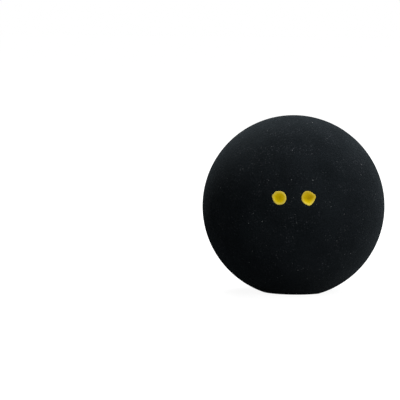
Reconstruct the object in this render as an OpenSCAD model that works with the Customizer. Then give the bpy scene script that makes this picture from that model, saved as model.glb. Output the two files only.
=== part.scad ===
// Squash ball: two moulded rubber half shells cemented rim to rim round sealed air, buffed to a
// sphere, with two speed dots printed on the front and a plain printed mark on the back.
// Origin at the ball's centre, +Z up, the dots facing -Y. The seam lies in the plane Y = 0.

/* [Ball] */
// Outside diameter of the finished ball
ball_d = 40; // [39.5:0.1:40.5]
// Thickness of the rubber wall
wall_t = 5; // [4:0.1:6]

/* [Seam] */
// Thickness of the cement film between the two rims
film_t = 0.16; // [0.1:0.02:0.24]
// Depth of the fine line that is left along the seam outside
seam_line_depth = 0.06; // [0.03:0.01:0.1]
// Chamfer on the outer edge of each rim
outer_break = 0.06; // [0.03:0.01:0.1]
// Chamfer on the inner edge of each rim, where the bead seats
inner_chamfer = 0.4; // [0.25:0.05:0.6]
// Height of the cement bead above the wall inside
bead_h = 0.35; // [0.15:0.05:0.4]

/* [Speed dots] */
// Diameter of each dot
dot_d = 2.9; // [2.6:0.1:3.6]
// Distance between the centres of the two dots
dot_pitch = 6.1; // [5:0.1:8]
// Height of the dots above the middle of the ball
dot_rise = 3.3; // [0:0.1:5]
// Thickness of the ink at the raised rim of a dot
dot_t = 0.1; // [0.08:0.01:0.14]
// Width of the raised rim
dot_rim_w = 0.35; // [0.2:0.05:0.6]
// Depth of the dish that the ink dries to inside the rim
dot_dish = 0.05; // [0.04:0.01:0.06]
// How far stray ink stands out of the round edge of a dot
nib_reach = 0.25; // [0.05:0.05:0.3]

/* [Printed mark] */
// Thickness of the mark's layer of ink
ink_t = 0.06; // [0.04:0.01:0.1]
// Outside diameter of the ring in the middle of the mark
ring_d = 12; // [10:0.1:13]
// Width of the ring's line
ring_line = 0.9; // [0.6:0.1:1.3]
// Number of string lines each way inside the ring
strings = 5; // [3:2:7]
// Width of a string line
string_w = 0.35; // [0.25:0.05:0.5]
// Radius of the border, to the middle of its line
border_r = 11; // [9.5:0.1:12.5]
// Width of the border's arcs
border_line = 1.2; // [0.8:0.1:1.6]
// Angle that each border arc spans, in degrees
arc_span = 62; // [40:1:66]
// Diameter of the round pips between the arcs
pip_d = 1.8; // [1.2:0.1:2.2]

/* [Hidden] */
$fn = 96;

ball_r = ball_d / 2;
cavity_r = ball_r - wall_t;

// The rims stand off the seam plane by half the film between them
rim_h = film_t / 2;

// The bead is an arc through the outer corners of both inner chamfers
bead_half_w = rim_h + inner_chamfer;
bead_arc_r = (pow(bead_half_w, 2) + pow(bead_h, 2)) / (2 * bead_h);
bead_centre_r = cavity_r - bead_h + bead_arc_r;

// Turn of each dot about the upright axis, and its angle above the middle
dot_lift = asin(dot_rise / ball_r);
dot_turn = asin(dot_pitch / 2 / (ball_r * cos(dot_lift)));

// Nibs of stray ink on each dot: directions in degrees, seen from the front, and reaches
left_nib_angles = [163, 131, 311];
left_nib_shares = [0.9, 0.65, 0.35];
right_nib_angles = [13, 280, 112];
right_nib_shares = [1, 0.8, 0.3];

// Power of the cosine that narrows a nib, and the number of points round a dot's edge
nib_sharpness = 16;
dot_edge_points = 60;

// The outermost strings stand off the ring by this share of the pitch
edge_gap_share = 0.75;
string_pitch = (ring_d - 2 * ring_line) / (strings - 1 + 2 * edge_gap_share);

// The border repeats in each quarter turn
border_repeats = 4;
repeat_angle = 360 / border_repeats;

// Colours, as red, green and blue
rubber_black = [0.09, 0.10, 0.11];
cement_grey = [0.20, 0.19, 0.18];
dot_yellow = [0.75, 0.62, 0.08];
print_grey = [0.62, 0.67, 0.72];

// A square turned on its corner, which cuts a chamfer of the given size from a square edge
module chamfer_cut(r, h, size) {
    translate([r, h]) rotate(45) square(size * sqrt(2), center = true);
}

// Half section of one shell: radius across, distance from the seam plane upwards
module shell_profile() {
    intersection() {
        difference() {
            circle(r = ball_r);
            circle(r = cavity_r);
            chamfer_cut(ball_r, rim_h, outer_break);
            chamfer_cut(cavity_r, rim_h, inner_chamfer);
        }
        translate([0, rim_h]) square(ball_r);
    }
}

// Half section of the cement: a film across the rims, and a bead squeezed out inside
module cement_profile() {
    difference() {
        union() {
            translate([cavity_r, -rim_h]) square([wall_t - seam_line_depth, film_t]);
            translate([bead_centre_r, 0]) circle(r = bead_arc_r);
        }
        shell_profile();
        mirror([0, 1]) shell_profile();
    }
}

// Half shell with its pole towards +Z and its rim just above the seam plane
module half_shell() {
    rotate_extrude() shell_profile();
}

module front_half_shell() {
    color(rubber_black) rotate([90, 0, 0]) half_shell();
}

module rear_half_shell() {
    color(rubber_black) rotate([-90, 0, 0]) half_shell();
}

module seam_cement() {
    color(cement_grey) rotate([90, 0, 0]) rotate_extrude() cement_profile();
}

// The part of the child that lies between two heights above the ball's surface
module layer(low, high) {
    intersection() {
        children();
        difference() {
            sphere(r = ball_r + high);
            sphere(r = ball_r + low);
        }
    }
}

// Turns a child's Z axis outwards through the middle of the dot on that side, 1 right or -1 left
module towards_dot(side) {
    rotate([90 - dot_lift, 0, side * dot_turn]) children();
}

// Radius of a dot's edge at an angle: round, but for the stray ink that swells out at each nib
function dot_edge_r(angle, nib_angles, nib_shares) =
    dot_d / 2 + nib_reach * max([
        for (i = [0:len(nib_angles) - 1])
            nib_shares[i] * pow(max(cos(angle - nib_angles[i]), 0), nib_sharpness)
    ]);

module dot_outline(nib_angles, nib_shares) {
    polygon([
        for (i = [0:dot_edge_points - 1])
            let (angle = i * 360 / dot_edge_points)
                dot_edge_r(angle, nib_angles, nib_shares) * [cos(angle), sin(angle)]
    ]);
}

// A spot of thick ink that dried with a raised rim round a dish
module speed_dot(side, nib_angles, nib_shares) {
    color(dot_yellow) difference() {
        layer(0, dot_t) towards_dot(side)
            linear_extrude(ball_d) dot_outline(nib_angles, nib_shares);
        layer(dot_t - dot_dish, 2 * dot_t) towards_dot(side)
            cylinder(r = dot_d / 2 - dot_rim_w, h = ball_d);
    }
}

module left_dot() {
    speed_dot(-1, left_nib_angles, left_nib_shares);
}

module right_dot() {
    speed_dot(1, right_nib_angles, right_nib_shares);
}

// The mark's ink on the back of the ball, under the flat outline given as the child
module rear_ink() {
    layer(0, ink_t) rotate([90, 0, 180]) linear_extrude(ball_d) children();
}

// Parallel string lines, as long as the ring is wide
module string_lines() {
    for (i = [0:strings - 1])
        translate([(i - (strings - 1) / 2) * string_pitch, 0])
            square([string_w, ring_d], center = true);
}

module emblem_outline() {
    difference() {
        circle(d = ring_d);
        circle(d = ring_d - 2 * ring_line);
    }
    intersection() {
        circle(d = ring_d - ring_line);
        union() {
            string_lines();
            rotate(90) string_lines();
        }
    }
}

module printed_emblem() {
    color(print_grey) rear_ink() emblem_outline();
}

// One arc of the border, its middle on the X axis
module arc_outline() {
    half_span = arc_span / 2;
    corner = (border_r + border_line) / cos(half_span);
    intersection() {
        difference() {
            circle(r = border_r + border_line / 2);
            circle(r = border_r - border_line / 2);
        }
        polygon([
            [0, 0],
            corner * [cos(half_span), -sin(half_span)],
            corner * [cos(half_span), sin(half_span)]
        ]);
    }
}

module printed_arcs() {
    color(print_grey) rear_ink()
        for (i = [0:border_repeats - 1]) rotate((i + 1 / 2) * repeat_angle) arc_outline();
}

module printed_pips() {
    color(print_grey) rear_ink()
        for (i = [0:border_repeats - 1])
            rotate(i * repeat_angle) translate([border_r, 0]) circle(d = pip_d);
}

front_half_shell();
rear_half_shell();
seam_cement();
left_dot();
right_dot();
printed_emblem();
printed_arcs();
printed_pips();
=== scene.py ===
"""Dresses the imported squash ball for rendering.

Lengths are in metres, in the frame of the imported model: the origin is the ball's centre, +Z is up,
the two speed dots face -Y, the printed mark faces +Y and the seam lies in the plane Y = 0.
"""

import logging
import math
from dataclasses import dataclass
from enum import Enum
from typing import Callable, ClassVar, Mapping, Optional, Sequence, Union

import bpy
import numpy as np
from mathutils import Matrix, Vector
from mathutils.geometry import delaunay_2d_cdt


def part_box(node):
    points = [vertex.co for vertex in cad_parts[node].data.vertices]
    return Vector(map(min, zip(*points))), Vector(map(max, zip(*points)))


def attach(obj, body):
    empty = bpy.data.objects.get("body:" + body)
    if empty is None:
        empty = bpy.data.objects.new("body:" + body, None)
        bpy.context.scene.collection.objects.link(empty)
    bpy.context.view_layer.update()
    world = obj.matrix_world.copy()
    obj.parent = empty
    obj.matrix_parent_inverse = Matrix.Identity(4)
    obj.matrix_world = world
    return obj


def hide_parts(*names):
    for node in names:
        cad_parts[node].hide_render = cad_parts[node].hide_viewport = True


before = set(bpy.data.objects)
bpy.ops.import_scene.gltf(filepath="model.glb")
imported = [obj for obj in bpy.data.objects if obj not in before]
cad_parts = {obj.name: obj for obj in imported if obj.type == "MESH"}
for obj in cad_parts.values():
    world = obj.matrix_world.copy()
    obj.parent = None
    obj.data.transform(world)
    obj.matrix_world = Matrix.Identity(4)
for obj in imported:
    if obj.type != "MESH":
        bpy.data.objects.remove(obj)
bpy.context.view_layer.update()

LOG = logging.getLogger("squash_ball")
MM = 0.001
BODY = "root"

# Edges that turn by more than this stay crisp
SHARP_EDGE = math.radians(30)

Socket = bpy.types.NodeSocket
Value = Union[Socket, float, int, bool, tuple, bpy.types.Material]
Colour = tuple[float, float, float, float]


class Side(Enum):
    """Which half of the ball a piece is on, as the sign of Y."""

    FRONT = -1
    REAR = 1


class Hand(Enum):
    """Which of the two dots it is, as the sign of X."""

    LEFT = -1
    RIGHT = 1


class Slot(Enum):
    """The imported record's material slots."""

    RUBBER = "rubber"
    CEMENT = "rubber_cement"
    DOT_INK = "dot_ink"
    PRINT_INK = "print_ink"


class Kind(Enum):
    """Kinds of socket on a group or a tree."""

    FLOAT = "NodeSocketFloat"
    INT = "NodeSocketInt"
    VECTOR = "NodeSocketVector"
    COLOUR = "NodeSocketColor"
    GEOMETRY = "NodeSocketGeometry"
    MATERIAL = "NodeSocketMaterial"


class Tree(Enum):
    """Kinds of node tree."""

    SHADER = "ShaderNodeTree"
    GEOMETRY = "GeometryNodeTree"


# Node trees


class Graph:
    """Adds nodes to a tree, sets their inputs and links them."""

    def __init__(self, tree: bpy.types.NodeTree) -> None:
        """Works on the given tree."""
        self.tree = tree

    def add(
        self, kind: str, inputs: Optional[Mapping[Union[str, int], Value]] = None, **settings: object
    ) -> bpy.types.Node:
        """Adds one node.

        Args:
            kind: the node's type name.
            inputs: what each input gets, by name or place: an output to link, or a constant.
            settings: properties of the node, set before its inputs.

        Returns:
            The node.
        """
        node = self.tree.nodes.new(kind)
        for name, value in settings.items():
            setattr(node, name, value)
        for key, value in (inputs or {}).items():
            self.feed(node.inputs[key], value)
        return node

    def feed(self, socket: Socket, value: Value) -> None:
        """Links an output to a socket, or sets the socket's constant.

        Args:
            socket: the socket to feed.
            value: an output, or a constant.
        """
        if isinstance(value, Socket):
            self.tree.links.new(value, socket)
        else:
            socket.default_value = value

    def math(self, operation: str, *values: Value) -> Socket:
        """A Math node's result."""
        return self.add("ShaderNodeMath", dict(enumerate(values)), operation=operation).outputs[0]

    def vector(self, operation: str, *values: Value) -> Socket:
        """A Vector Math node's vector result."""
        node = self.add("ShaderNodeVectorMath", dict(enumerate(values)), operation=operation)
        return node.outputs["Vector"]

    def length(self, vector: Value) -> Socket:
        """The length of a vector."""
        node = self.add("ShaderNodeVectorMath", {0: vector}, operation="LENGTH")
        return node.outputs["Value"]

    def scaled(self, vector: Value, factor: Value) -> Socket:
        """A vector times a number."""
        inputs = {"Vector": vector, "Scale": factor}
        return self.add("ShaderNodeVectorMath", inputs, operation="SCALE").outputs["Vector"]

    def split(self, vector: Value) -> tuple[Socket, Socket, Socket]:
        """The three numbers of a vector."""
        outputs = self.add("ShaderNodeSeparateXYZ", {0: vector}).outputs
        return outputs[0], outputs[1], outputs[2]

    def join(self, x: Value, y: Value, z: Value) -> Socket:
        """A vector of three numbers."""
        return self.add("ShaderNodeCombineXYZ", {0: x, 1: y, 2: z}).outputs[0]

    def ramp(self, value: Value, low: Value, high: Value, start: Value = 0.0, end: Value = 1.0) -> Socket:
        """Runs smoothly from start to end as the value goes from low to high.

        Args:
            value: what is followed.
            low: the value at which the result is start.
            high: the value at which the result is end.
            start: the first result.
            end: the last result.

        Returns:
            The result.
        """
        inputs = {"Value": value, "From Min": low, "From Max": high, "To Min": start, "To Max": end}
        return self.add("ShaderNodeMapRange", inputs, interpolation_type="SMOOTHSTEP").outputs[0]

    def noise(self, vector: Value, detail: Value = 2.0, roughness: float = 0.55) -> Socket:
        """Noise from 0 to 1 whose features are about one unit across.

        Args:
            vector: the place, in units of the feature's size.
            detail: how many finer layers are added.
            roughness: the weight of the finer layers.

        Returns:
            The noise.
        """
        inputs = {"Vector": vector, "Scale": 1.0, "Detail": detail, "Roughness": roughness}
        return self.add("ShaderNodeTexNoise", inputs).outputs["Fac"]

    def mix(self, factor: Value, a: Value, b: Value) -> Socket:
        """A colour between a and b."""
        node = self.add("ShaderNodeMix", {0: factor, 6: a, 7: b}, data_type="RGBA")
        return node.outputs[2]


class Group(Graph):
    """A shader group or a Geometry Nodes tree, with named inputs and outputs."""

    def __init__(
        self, name: str, tree: Tree, inputs: Mapping[str, Kind], outputs: Mapping[str, Kind]
    ) -> None:
        """Makes the tree and its sockets.

        Args:
            name: the tree's name.
            tree: which kind of tree it is.
            inputs: the kind of each named input.
            outputs: the kind of each named output.
        """
        super().__init__(bpy.data.node_groups.new(name, tree.value))
        self.identifiers = {}
        for in_out, sockets in (("INPUT", inputs), ("OUTPUT", outputs)):
            for label, kind in sockets.items():
                made = self.tree.interface.new_socket(label, in_out=in_out, socket_type=kind.value)
                self.identifiers[label] = made.identifier
        self.given = self.tree.nodes.new("NodeGroupInput").outputs
        self.result = self.tree.nodes.new("NodeGroupOutput").inputs

    def close(self, geometry: Socket) -> None:
        """Ends a Geometry Nodes tree: smooth but for sharp edges, realized, with its material.

        Args:
            geometry: what the tree has made.
        """
        smooth = self.add("GeometryNodeSetShadeSmooth", {"Geometry": geometry})
        angle = self.add("GeometryNodeInputMeshEdgeAngle").outputs["Unsigned Angle"]
        crisp = self.add("FunctionNodeCompare", {0: angle, 1: SHARP_EDGE}, operation="GREATER_THAN")
        inputs = {"Geometry": smooth.outputs[0], "Selection": crisp.outputs[0], "Shade Smooth": False}
        edges = self.add("GeometryNodeSetShadeSmooth", inputs, domain="EDGE")
        whole = self.add("GeometryNodeRealizeInstances", {"Geometry": edges.outputs[0]})
        inputs = {"Geometry": whole.outputs[0], "Material": self.given["Material"]}
        dressed = self.add("GeometryNodeSetMaterial", inputs)
        self.feed(self.result["Geometry"], dressed.outputs[0])

    def grow(
        self, name: str, base: Optional[bpy.types.Mesh], values: Mapping[str, Value]
    ) -> bpy.types.Object:
        """Runs a Geometry Nodes tree once and keeps what it makes as a plain mesh.

        Args:
            name: the name of the piece.
            base: the mesh that the tree starts from, or None.
            values: what each named input gets.

        Returns:
            The piece, with no modifier on it.
        """
        piece = link_object(name, base or bpy.data.meshes.new(name))
        modifier = piece.modifiers.new("shape", "NODES")
        modifier.node_group = self.tree
        for label, value in values.items():
            modifier[self.identifiers[label]] = value
        depsgraph = bpy.context.evaluated_depsgraph_get()
        mesh = bpy.data.meshes.new_from_object(piece.evaluated_get(depsgraph))
        piece.modifiers.remove(modifier)
        mesh.name = name
        piece.data = mesh
        return piece


# Meshes


def smooth_step(share: Union[float, np.ndarray]) -> Union[float, np.ndarray]:
    """Runs smoothly from 0 to 1 as the share does, and stays there beyond."""
    share = np.clip(share, 0.0, 1.0)
    return share * share * (3 - 2 * share)


def link_object(name: str, mesh: bpy.types.Mesh) -> bpy.types.Object:
    """Puts a mesh in the scene, at the origin.

    Args:
        name: the object's name.
        mesh: its mesh.

    Returns:
        The object.
    """
    piece = bpy.data.objects.new(name, mesh)
    bpy.context.scene.collection.objects.link(piece)
    return piece


def plain_mesh(
    name: str, points: np.ndarray, faces: Sequence[Sequence[int]], edges: Sequence[Sequence[int]] = ()
) -> bpy.types.Mesh:
    """Makes a mesh of points and faces, shaded smooth but for its sharp edges.

    Args:
        name: the mesh's name.
        points: one row of three numbers for each point.
        faces: the points' numbers round each face, anticlockwise from outside.
        edges: pairs of points, for a mesh with no faces.

    Returns:
        The mesh.
    """
    mesh = bpy.data.meshes.new(name)
    mesh.from_pydata([tuple(p) for p in points], edges, faces)
    mesh.validate()
    mesh.shade_smooth()
    if faces:
        mesh.set_sharp_from_angle(angle=SHARP_EDGE)
    return mesh


def ring_faces(rings: int, count: int) -> list[tuple[int, int, int, int]]:
    """Joins rings of points, numbered ring by ring from the middle outwards.

    Args:
        rings: how many rings there are.
        count: how many points each ring has, anticlockwise.

    Returns:
        Faces that look towards the side on which the points run anticlockwise.
    """
    return [
        (j * count + i, (j + 1) * count + i, (j + 1) * count + (i + 1) % count, j * count + (i + 1) % count)
        for j in range(rings - 1) for i in range(count)
    ]


def fan(middle: int, first: int, count: int) -> list[tuple[int, int, int]]:
    """Joins a middle point to the ring of points that starts at the number first."""
    return [(middle, first + i, first + (i + 1) % count) for i in range(count)]


def hand_over(piece: bpy.types.Object, slot: Slot, *nodes: str) -> None:
    """Puts a finished piece on the ball in place of the CAD nodes that it stands for.

    Args:
        piece: the finished piece.
        slot: the record's material slot; not used.
        nodes: the CAD nodes that it replaces.
    """
    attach(piece, BODY)
    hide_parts(*nodes)
    LOG.info("%s: %d faces, in place of %s", piece.name, len(piece.data.polygons), ", ".join(nodes))


# Effects that several finishes share


class Effects:
    """The shader groups, each built once. Sizes are in metres."""

    # The values of noise between which a tone, a streak or a patch comes in
    TONE_EDGES = (0.3, 0.7)
    STREAK_EDGES = (0.45, 0.72)
    PATCH_EDGES = (0.4, 0.6)
    # A speck's full middle and how far noise pulls its outline about, in shares of its radius
    SPECK_CORE = 0.35
    SPECK_PULL = 2.4
    SPECK_NOISE_SCALE = 0.9
    # The strength of the faintest speck, and what specks outside a patch are cut to
    SPECK_FAINTEST = 0.25
    SPECK_OUTSIDE = 0.1
    # Wavers per metre, of the buffed band's edge and of the lines in it
    BAND_WAVERS = 160.0
    LINE_WAVERS = 90.0

    def __init__(self) -> None:
        """Builds the groups."""
        self.grain = self._grain()
        self.specks = self._specks()
        self.drift = self._drift()
        self.streaks = self._streaks()
        self.buffing = self._buffing()

    @staticmethod
    def _grain() -> bpy.types.NodeTree:
        """Builds fine uneven grain.

        Returns:
            The group. Height runs from 0 to 1, with features of the given Size.
        """
        inputs = {"Position": Kind.VECTOR, "Size": Kind.FLOAT, "Detail": Kind.FLOAT}
        made = Group("FineGrain", Tree.SHADER, inputs, {"Height": Kind.FLOAT})
        place = made.scaled(made.given["Position"], made.math("DIVIDE", 1.0, made.given["Size"]))
        made.feed(made.result["Height"], made.noise(place, made.given["Detail"]))
        return made.tree

    @classmethod
    def _specks(cls) -> bpy.types.NodeTree:
        """Builds ragged specks of uneven strength, gathered in patches.

        Returns:
            The group. Mask is above 0 on the specks.
        """
        inputs = {
            "Position": Kind.VECTOR, "Spacing": Kind.FLOAT, "Radius": Kind.FLOAT, "Patch": Kind.FLOAT,
        }
        made = Group("Specks", Tree.SHADER, inputs, {"Mask": Kind.FLOAT})
        position, spacing, radius = (made.given[name] for name in ("Position", "Spacing", "Radius"))
        near = made.scaled(position, made.math("DIVIDE", 1.0, radius))
        inputs = {"Vector": near, "Scale": cls.SPECK_NOISE_SCALE, "Detail": 1.0}
        pull = made.add("ShaderNodeTexNoise", inputs).outputs["Color"]
        pull = made.vector("SUBTRACT", pull, (0.5, 0.5, 0.5))
        pull = made.scaled(pull, made.math("MULTIPLY", radius, cls.SPECK_PULL))
        place = made.scaled(made.vector("ADD", position, pull), made.math("DIVIDE", 1.0, spacing))
        cells = made.add("ShaderNodeTexVoronoi", {"Vector": place, "Scale": 1.0})
        distance = made.math("MULTIPLY", cells.outputs["Distance"], spacing)
        core = made.math("MULTIPLY", radius, cls.SPECK_CORE)
        spot = made.ramp(distance, core, radius, 1.0, 0.0)
        share = made.split(cells.outputs["Color"])[0]
        strength = made.math("MULTIPLY_ADD", share, 1.0 - cls.SPECK_FAINTEST, cls.SPECK_FAINTEST)
        cell = made.scaled(cells.outputs["Position"], made.math("DIVIDE", spacing, made.given["Patch"]))
        patches = made.noise(cell, detail=1.0)
        gathered = made.ramp(patches, *cls.PATCH_EDGES, cls.SPECK_OUTSIDE, 1.0)
        strength = made.math("MULTIPLY", strength, gathered)
        made.feed(made.result["Mask"], made.math("MULTIPLY", spot, strength))
        return made.tree

    @classmethod
    def _drift(cls) -> bpy.types.NodeTree:
        """Builds a drift of colour.

        Returns:
            The group. Colour goes between Dark and Light over patches of the given Size.
        """
        inputs = {"Position": Kind.VECTOR, "Size": Kind.FLOAT, "Dark": Kind.COLOUR, "Light": Kind.COLOUR}
        made = Group("ToneDrift", Tree.SHADER, inputs, {"Colour": Kind.COLOUR})
        place = made.scaled(made.given["Position"], made.math("DIVIDE", 1.0, made.given["Size"]))
        share = made.ramp(made.noise(place, detail=3.0), *cls.TONE_EDGES)
        made.feed(made.result["Colour"], made.mix(share, made.given["Dark"], made.given["Light"]))
        return made.tree

    @classmethod
    def _streaks(cls) -> bpy.types.NodeTree:
        """Builds thin streaks, which run along X once the place is turned by Turn.

        Returns:
            The group. Mask runs from 0 to 1.
        """
        inputs = {
            "Position": Kind.VECTOR, "Turn": Kind.VECTOR, "Length": Kind.FLOAT, "Width": Kind.FLOAT,
        }
        made = Group("Streaks", Tree.SHADER, inputs, {"Mask": Kind.FLOAT})
        inputs = {"Vector": made.given["Position"], "Rotation": made.given["Turn"]}
        turned = made.add("ShaderNodeMapping", inputs, vector_type="POINT").outputs[0]
        x, y, z = made.split(turned)
        width = made.given["Width"]
        across = [made.math("DIVIDE", axis, width) for axis in (y, z)]
        place = made.join(made.math("DIVIDE", x, made.given["Length"]), *across)
        made.feed(made.result["Mask"], made.ramp(made.noise(place, detail=2.0), *cls.STREAK_EDGES))
        return made.tree

    @classmethod
    def _buffing(cls) -> bpy.types.NodeTree:
        """Builds the band round the seam where the flash was ground off.

        Returns:
            The group. Mask is 1 at the seam and 0 outside the band, and Height has lines along it.
        """
        inputs = {"Position": Kind.VECTOR, "Reach": Kind.FLOAT, "Line": Kind.FLOAT}
        outputs = {"Mask": Kind.FLOAT, "Height": Kind.FLOAT}
        made = Group("SeamBuffing", Tree.SHADER, inputs, outputs)
        x, y, z = made.split(made.given["Position"])
        # Noise is a half on average, so the reach is what was asked for on average
        waver = made.noise(made.scaled(made.given["Position"], cls.BAND_WAVERS), detail=1.0)
        reach = made.math("MULTIPLY", made.given["Reach"], made.math("ADD", waver, 0.5))
        made.feed(made.result["Mask"], made.ramp(made.math("ABSOLUTE", y), 0.0, reach, 1.0, 0.0))
        across = made.math("DIVIDE", y, made.given["Line"])
        x, z = (made.math("MULTIPLY", axis, cls.LINE_WAVERS) for axis in (x, z))
        made.feed(made.result["Height"], made.noise(made.join(x, across, z), detail=1.0))
        return made.tree


# Finishes


class Surface(Graph):
    """A new material's nodes, with the shared effects at hand."""

    def __init__(self, name: str, effects: Effects) -> None:
        """Makes a material of one Principled BSDF, placed by Object coordinates.

        Args:
            name: the material's name.
            effects: the shared shader groups.
        """
        self.material = bpy.data.materials.new(name)
        self.material.use_nodes = True
        super().__init__(self.material.node_tree)
        self.effects = effects
        self.shader = self.tree.nodes["Principled BSDF"]
        self.place = self.add("ShaderNodeTexCoord").outputs["Object"]

    def effect(self, tree: bpy.types.NodeTree, **inputs: Value) -> bpy.types.bpy_prop_collection:
        """Places a shared effect on the surface, with its named inputs, and gives its outputs."""
        return self.add("ShaderNodeGroup", {"Position": self.place, **inputs}, node_tree=tree).outputs

    def grain(self, size: float, detail: float) -> Socket:
        """The height of a fine grain, from 0 to 1."""
        return self.effect(self.effects.grain, Size=size, Detail=detail)["Height"]

    def tones(self, size: float, dark: Colour, light: Colour) -> Socket:
        """A colour that drifts between two tones."""
        return self.effect(self.effects.drift, Size=size, Dark=dark, Light=light)["Colour"]

    def specks(self, spacing: float, radius: float, patch: float) -> Socket:
        """The mask of specks of one size."""
        return self.effect(self.effects.specks, Spacing=spacing, Radius=radius, Patch=patch)["Mask"]

    def attribute(self, name: str) -> Socket:
        """A number that the mesh holds at each point."""
        return self.add("ShaderNodeAttribute", attribute_name=name).outputs["Fac"]

    def dress(self, base: Socket, rough: Socket, height: Socket, depth: float) -> None:
        """Feeds the shader what varies over the surface.

        Args:
            base: the colour.
            rough: the roughness.
            height: the relief, from 0 to about 1.
            depth: how deep the relief is, in metres.
        """
        inputs = {"Strength": 1.0, "Distance": depth, "Height": height}
        self.feed(self.shader.inputs["Normal"], self.add("ShaderNodeBump", inputs).outputs[0])
        self.feed(self.shader.inputs["Base Color"], base)
        self.feed(self.shader.inputs["Roughness"], rough)


class Finish:
    """What every finish has in common."""

    specular: float

    def material(self, effects: Effects) -> bpy.types.Material:
        """Builds the material.

        Args:
            effects: the shared shader groups.

        Returns:
            The material.
        """
        surface = Surface(type(self).__name__, effects)
        self.paint(surface)
        surface.shader.inputs["Specular IOR Level"].default_value = self.specular
        return surface.material

    def paint(self, surface: Surface) -> None:
        """Adds the finish's own nodes to a surface."""
        raise NotImplementedError


@dataclass(frozen=True)
class BuffedRubber(Finish):
    """Matt black rubber with a fine grain, a faint bloom, pale specks and a buffed seam."""

    dark: Colour = (0.0038, 0.0049, 0.0057, 1.0)
    light: Colour = (0.0078, 0.0098, 0.0115, 1.0)
    speck: Colour = (0.18, 0.185, 0.19, 1.0)
    fine_speck: Colour = (0.029, 0.031, 0.035, 1.0)
    patch: float = 7.0 * MM
    mottle: float = 0.36 * MM
    mottle_share: float = 0.5
    speck_spacing: float = 1.05 * MM
    speck_radius: float = 0.12 * MM
    fine_spacing: float = 0.46 * MM
    fine_radius: float = 0.16 * MM
    speck_patch: float = 3.9 * MM
    grain: float = 0.42 * MM
    fine_grain: float = 0.11 * MM
    grain_depth: float = 0.09 * MM
    fine_height: float = 0.8
    buffed_height: float = 0.5
    speck_height: float = 0.6
    seam_reach: float = 1.5 * MM
    seam_line: float = 0.16 * MM
    roughness: float = 0.58
    roughness_swing: float = 0.16
    buffed_roughness: float = -0.08
    specular: float = 0.0
    sheen: float = 0.044
    sheen_roughness: float = 0.45
    sheen_tint: Colour = (0.78, 0.92, 1.0, 1.0)

    def paint(self, surface: Surface) -> None:
        """Adds the rubber's nodes.

        Args:
            surface: the material's nodes.
        """
        wide = surface.tones(self.patch, self.dark, self.light)
        narrow = surface.tones(self.mottle, self.dark, self.light)
        fine = surface.specks(self.fine_spacing, self.fine_radius, self.speck_patch)
        specks = surface.specks(self.speck_spacing, self.speck_radius, self.speck_patch)
        base = surface.mix(fine, surface.mix(self.mottle_share, wide, narrow), self.fine_speck)
        coarse = surface.grain(self.grain, detail=1.0)
        close = surface.grain(self.fine_grain, detail=2.0)
        seam = surface.effect(surface.effects.buffing, Reach=self.seam_reach, Line=self.seam_line)
        ground = surface.math("MULTIPLY", seam["Mask"], seam["Height"])
        height = surface.math("MULTIPLY_ADD", close, self.fine_height, coarse)
        height = surface.math("MULTIPLY_ADD", ground, self.buffed_height, height)
        height = surface.math("MULTIPLY_ADD", specks, self.speck_height, height)
        rough = surface.math("MULTIPLY_ADD", coarse, self.roughness_swing, self.roughness)
        rough = surface.math("MULTIPLY_ADD", seam["Mask"], self.buffed_roughness, rough)
        surface.dress(surface.mix(specks, base, self.speck), rough, height, self.grain_depth)
        surface.shader.inputs["Sheen Weight"].default_value = self.sheen
        surface.shader.inputs["Sheen Roughness"].default_value = self.sheen_roughness
        surface.shader.inputs["Sheen Tint"].default_value = self.sheen_tint


@dataclass(frozen=True)
class RubberCement(Finish):
    """Dull dark cement that set with a wrinkled skin."""

    dark: Colour = (0.016, 0.015, 0.014, 1.0)
    light: Colour = (0.030, 0.028, 0.026, 1.0)
    patch: float = 1.4 * MM
    wrinkle: float = 0.3 * MM
    wrinkle_depth: float = 0.03 * MM
    roughness: float = 0.6
    roughness_swing: float = 0.2
    specular: float = 0.2

    def paint(self, surface: Surface) -> None:
        """Adds the cement's nodes.

        Args:
            surface: the material's nodes.
        """
        base = surface.tones(self.patch, self.dark, self.light)
        height = surface.grain(self.wrinkle, detail=3.0)
        rough = surface.math("MULTIPLY_ADD", height, self.roughness_swing, self.roughness)
        surface.dress(base, rough, height, self.wrinkle_depth)


@dataclass(frozen=True)
class DotInk(Finish):
    """Thick yellow ink: golden where it is thin, and paler round the edge, where it piled up and where a
    highlight is painted.
    """

    thin: Colour = (0.315, 0.20, 0.0, 1.0)
    full: Colour = (0.65, 0.468, 0.0, 1.0)
    piled_and_highlit: Colour = (0.70, 0.565, 0.09, 1.0)
    mottle: float = 0.45 * MM
    uneven: float = 0.2
    grain: float = 0.12 * MM
    grain_depth: float = 0.008 * MM
    roughness: float = 0.42
    roughness_swing: float = 0.2
    specular: float = 0.02
    cover_name: str = "ink_cover"
    pile_and_highlight_name: str = "ink_pile_and_highlight"

    def paint(self, surface: Surface) -> None:
        """Adds the ink's nodes.

        Args:
            surface: the material's nodes.
        """
        mottle = surface.grain(self.mottle, detail=2.0)
        uneven = surface.math("MULTIPLY_ADD", mottle, self.uneven, -self.uneven / 2)
        cover = surface.math("ADD", surface.attribute(self.cover_name), uneven)
        inputs = {"Value": cover, "Min": 0.0, "Max": 1.0}
        cover = surface.add("ShaderNodeClamp", inputs).outputs[0]
        # Pale at the rim, partly from piled ink and partly from a painted highlight
        thick = surface.mix(surface.attribute(self.pile_and_highlight_name), self.full, self.piled_and_highlit)
        height = surface.grain(self.grain, detail=2.0)
        rough = surface.math("MULTIPLY_ADD", height, self.roughness_swing, self.roughness)
        surface.dress(surface.mix(cover, self.thin, thick), rough, height, self.grain_depth)


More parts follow.
